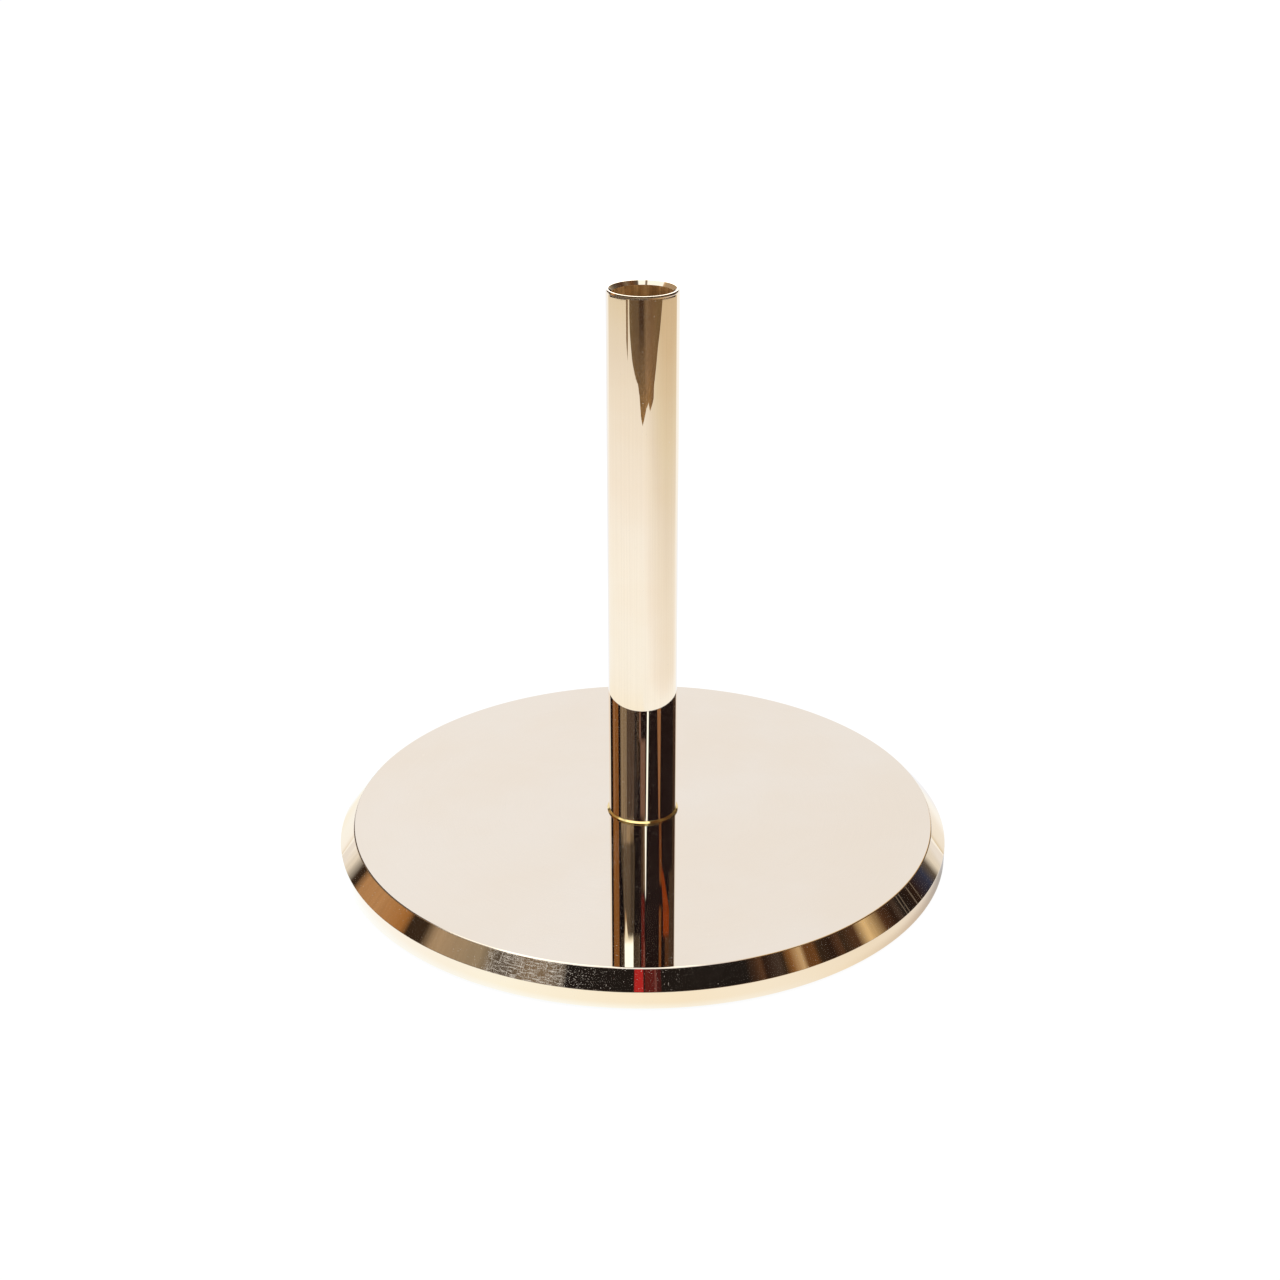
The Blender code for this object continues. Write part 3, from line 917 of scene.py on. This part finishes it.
def glowing(name, paint):
    """A stage material that gives light of the painted colour. The paint takes the graph and place."""
    made, graph, place = material(name)
    made.cycles.emission_sampling = "NONE"
    light = graph.node("ShaderNodeEmission")
    graph.feed(light.inputs["Color"], paint(graph, place))
    output = graph.node("ShaderNodeOutputMaterial")
    graph.tree.links.new(light.outputs[0], output.inputs["Surface"])
    return made


# The white table's painted light and shade: its colour by distance, and close beside the base by degrees round
# from the front. Round the base a warm glow is painted, brighter and cooler to the left, and to the right the
# base's painted shadow
TABLE_AWAY = (
    (0.19, (1.01, 0.99, 0.88)),
    (0.24, (1.01, 1.04, 1.03)),
    (0.45, (1.01, 1.03, 1.02)),
    (0.62, (0.97, 0.96, 0.93)),
    (0.90, (0.91, 0.88, 0.81)),
    (1.06, (0.85, 0.80, 0.71)),
    (1.28, (0.80, 0.73, 0.58)),
    (1.65, (0.69, 0.56, 0.38)),
    (3.00, (0.50, 0.38, 0.24)),
)
TABLE_LIGHT_AND_SHADE_BESIDE = (
    (-90, (1.03, 1.15, 1.30)),
    (-65, (1.04, 1.10, 1.15)),
    (-45, (1.03, 1.07, 1.08)),
    (-25, (1.04, 1.07, 1.00)),
    (-5, (1.01, 0.99, 0.88)),
    (5, (1.01, 0.98, 0.86)),
    (25, (0.97, 0.94, 0.84)),
    (35, (0.95, 0.91, 0.80)),
    (45, (0.92, 0.87, 0.76)),
    (55, (0.90, 0.86, 0.78)),
    (65, (0.82, 0.78, 0.74)),
    (75, (0.72, 0.70, 0.68)),
    (95, (0.92, 0.94, 1.00)),
)
TABLE_LIGHT_AND_SHADE_AT_FOOT = (
    (-90, (1.05, 1.17, 1.32)),
    (0, (1.04, 1.13, 1.16)),
    (18, (1.01, 1.04, 1.02)),
    (38, (0.93, 0.87, 0.74)),
    (58, (0.66, 0.58, 0.50)),
    (75, (0.42, 0.40, 0.39)),
    (95, (0.90, 0.93, 1.00)),
)
TABLE_BEHIND = (0.98, 1.03, 1.12)

# The room's floor beyond the table's front edge, by how far to the side it lies for each metre in front
FRONT_FLOOR = (
    (-0.90, (0.140, 0.096, 0.052)),
    (-0.60, (0.132, 0.087, 0.046)),
    (-0.25, (0.132, 0.085, 0.046)),
    (0.14, (0.165, 0.106, 0.056)),
    (0.24, (0.215, 0.140, 0.080)),
    (0.55, (0.172, 0.104, 0.053)),
    (1.10, (0.138, 0.088, 0.042)),
)
FRONT_FLOOR_DARKEST = (0.064, 0.036, 0.020)
FRONT_FLOOR_NEAREST = (0.330, 0.188, 0.066)
SHADED_FLOOR = (0.048, 0.028, 0.014)
LEG_BROWN = (0.240, 0.160, 0.090)

# Outlines on the table's level, in metres to the right of the base's middle and behind it
TABLE_FRONT_EDGE = (
    (-8.0, -9.5), (-0.911, -1.034), (-0.828, -0.936), (-0.747, -0.893), (-0.57, -0.885), (-0.24, -0.93),
    (-0.15, -0.905), (-0.075, -0.845), (0.0, -0.82), (0.09, -0.842), (0.175, -0.858), (0.28, -0.85),
    (0.335, -0.80), (0.41, -0.78), (0.51, -0.752), (0.56, -0.777), (0.81, -0.74), (1.17, -0.59),
    (9.0, 2.0), (9.0, -9.5),
)
LEG_OUTLINE = (
    (-0.765, -0.71), (-0.885, -0.70), (-1.04, -0.80), (-3.0, -2.28), (-3.0, -2.90), (-0.95, -0.92),
    (-0.815, -0.785),
)
# The stage pieces lie in thin layers, so that the upper one hides the lower
FALLOFF_LAYER = 0.0004
BESIDE_LAYER = 0.0008
FRONT_LAYER = 0.001
# The shaded room beside the table: its outer radius, and its first and last direction in degrees round
BESIDE_REACH = 7.0
BESIDE_FROM = 50
BESIDE_TO = 121


def table_falloff(graph, place):
    """The white table grows warmer and darker away from the light in front, sooner on the right."""
    parts = graph.split(place)
    away = graph.vector("LENGTH", place)
    across = degrees_round(graph, place)
    forward = graph.maths("DIVIDE", graph.maths("MULTIPLY", parts[1], -1.0), away)
    rightward = graph.maths("MAXIMUM", graph.maths("DIVIDE", parts[0], away), 0.0)
    sideways = graph.rise(forward, -0.67, -0.61, 0.5, 4.0)
    turned = graph.maths("MULTIPLY", graph.rise(away, 0.45, 0.9, 0.0, 0.35), graph.rise(rightward, 0.0, 0.1))
    forward = graph.maths("ADD", forward, turned)
    rightward = graph.maths("MULTIPLY", rightward, graph.rise(forward, -0.90, -0.45))
    reach = graph.maths("MULTIPLY_ADD", rightward, graph.rise(away, 0.17, 0.26, 0.0, 0.55), away)
    horizon = graph.rise(away, 1.7, 2.3, 4.0, 0.5)
    horizon = graph.maths("MAXIMUM", graph.rise(forward, -0.35, 0.15, 0.5, 4.0), horizon)
    reach = graph.maths("MINIMUM", reach, graph.maths("MINIMUM", sideways, horizon))
    open_table = graph.ramp(reach, 0, 4, TABLE_AWAY)
    cool = graph.rise(forward, -0.93, -0.70, 1.0, 0.0)
    behind = graph.scaled(TABLE_BEHIND, graph.between(rightward, 0.98, 0.90))
    open_table = graph.mix(cool, open_table, behind)
    # Close by the base: a painted warm glow, painted light on the left and the base's painted shadow on the
    # table to the right
    light_and_shade_at_foot = graph.ramp(across, -180, 180, TABLE_LIGHT_AND_SHADE_AT_FOOT)
    beside = graph.ramp(across, -180, 180, TABLE_LIGHT_AND_SHADE_BESIDE)
    beside = graph.mix(graph.rise(away, 0.1725, 0.1790, 1.0, 0.0), beside, light_and_shade_at_foot)
    return graph.mix(graph.rise(away, 0.184, 0.205), beside, open_table)


def room_in_front(graph, place):
    """Beyond the table's front edge the floor of the room is dark brown, darkest far off in the middle."""
    parts = graph.split(place)
    side = graph.maths("DIVIDE", parts[0], graph.maths("MULTIPLY", parts[1], -1.0))
    side = graph.maths("MULTIPLY_ADD", graph.noise(place, 2.5, 3.0), 0.06, side)
    middle = graph.rise(parts[1], -1.24, -0.97, 1.0, 0.0)
    middle = graph.maths("MULTIPLY", graph.band(side, -0.17, 0.10, 0.06), middle)
    colour = graph.ramp(side, -2, 2, FRONT_FLOOR)
    colour = graph.mix(middle, colour, FRONT_FLOOR_DARKEST)
    colour = graph.scaled(colour, graph.rise(parts[1], -1.20, -0.90, 1.0, 1.3))
    tip = graph.rise(parts[1], -0.98, -0.80, 0.0, 0.7)
    tip = graph.maths("MULTIPLY", tip, graph.band(side, -0.5, 0.5, 0.1))
    colour = graph.mix(tip, colour, FRONT_FLOOR_NEAREST)
    grain = graph.noise(graph.vector("MULTIPLY", place, (10.0, 130.0, 1.0)), 1.0, 3.0, 0.8)
    return graph.scaled(colour, graph.rise(grain, 0.28, 0.72, 0.6, 1.4))


def beyond_table(graph, place):
    """The room past the table's far sides, in shade."""
    mottle = graph.rise(graph.noise(place, 3.0, 4.0, 0.7), 0.35, 0.70, 0.4, 2.2)
    return graph.scaled(SHADED_FLOOR, mottle)


def stand_leg(graph, place):
    """A brown leg of a light stand, seen past the table's front left corner."""
    grain = graph.noise(graph.vector("MULTIPLY", place, (40.0, 9.0, 1.0)), 1.0, 3.0)
    return graph.scaled(LEG_BROWN, graph.rise(grain, 0.3, 0.7, 0.85, 1.15))


def raised(outline, height):
    """A level outline's points, at a height."""
    return [(x, y, height) for x, y in outline]


def arc_band(first, last, inner, outer):
    """The outline of part of a flat ring, between two directions in degrees round from the front."""
    turns = [math.radians(first + (last - first) * step / ARC_STEPS) for step in range(ARC_STEPS + 1)]
    inside = [(inner * math.sin(turn), -inner * math.cos(turn)) for turn in turns]
    outside = [(outer * math.sin(turn), -outer * math.cos(turn)) for turn in reversed(turns)]
    return inside + outside


def reflected_table():
    """What the upper tube mirrors: the table, its ragged front edge and the dark room beyond."""
    falloff = glowing("table_falloff", table_falloff)
    staged("table_falloff", flat_square(FLOOR_HALF / 2, FALLOFF_LAYER), falloff, True)
    front = glowing("front_room", room_in_front)
    staged("front_room", raised(reversed(TABLE_FRONT_EDGE), FRONT_LAYER), front, True)
    leg = glowing("stand_leg", stand_leg)
    staged("stand_leg", raised(LEG_OUTLINE, FRONT_LAYER), leg, True)
    shaded = glowing("beyond_table", beyond_table)
    left = arc_band(-BESIDE_TO, -BESIDE_FROM, TABLE_REACH, BESIDE_REACH)
    staged("left_of_table", raised(left, BESIDE_LAYER), shaded, True)
    right = arc_band(BESIDE_FROM, BESIDE_TO, TABLE_REACH, BESIDE_REACH)
    staged("right_of_table", raised(right, BESIDE_LAYER), shaded, True)


def camera():
    view = bpy.data.cameras.new("camera")
    view.lens = CAMERA_LENS
    view.sensor_width = 36
    view.shift_x = CAMERA_SHIFT
    view.clip_start = 0.01
    view.clip_end = 200
    made = bpy.data.objects.new("camera", view)
    bpy.context.scene.collection.objects.link(made)
    made.location = CAMERA_PLACE
    made.rotation_euler = (math.pi / 2 - CAMERA_TILT, 0, 0)
    bpy.context.scene.camera = made


def main():
    base_shell()
    socket_post()
    brass_bead()
    hidden_pieces()
    studio()
    floor()
    reflected_table()
    camera()
    bpy.context.scene.view_settings.view_transform = "Standard"


main()
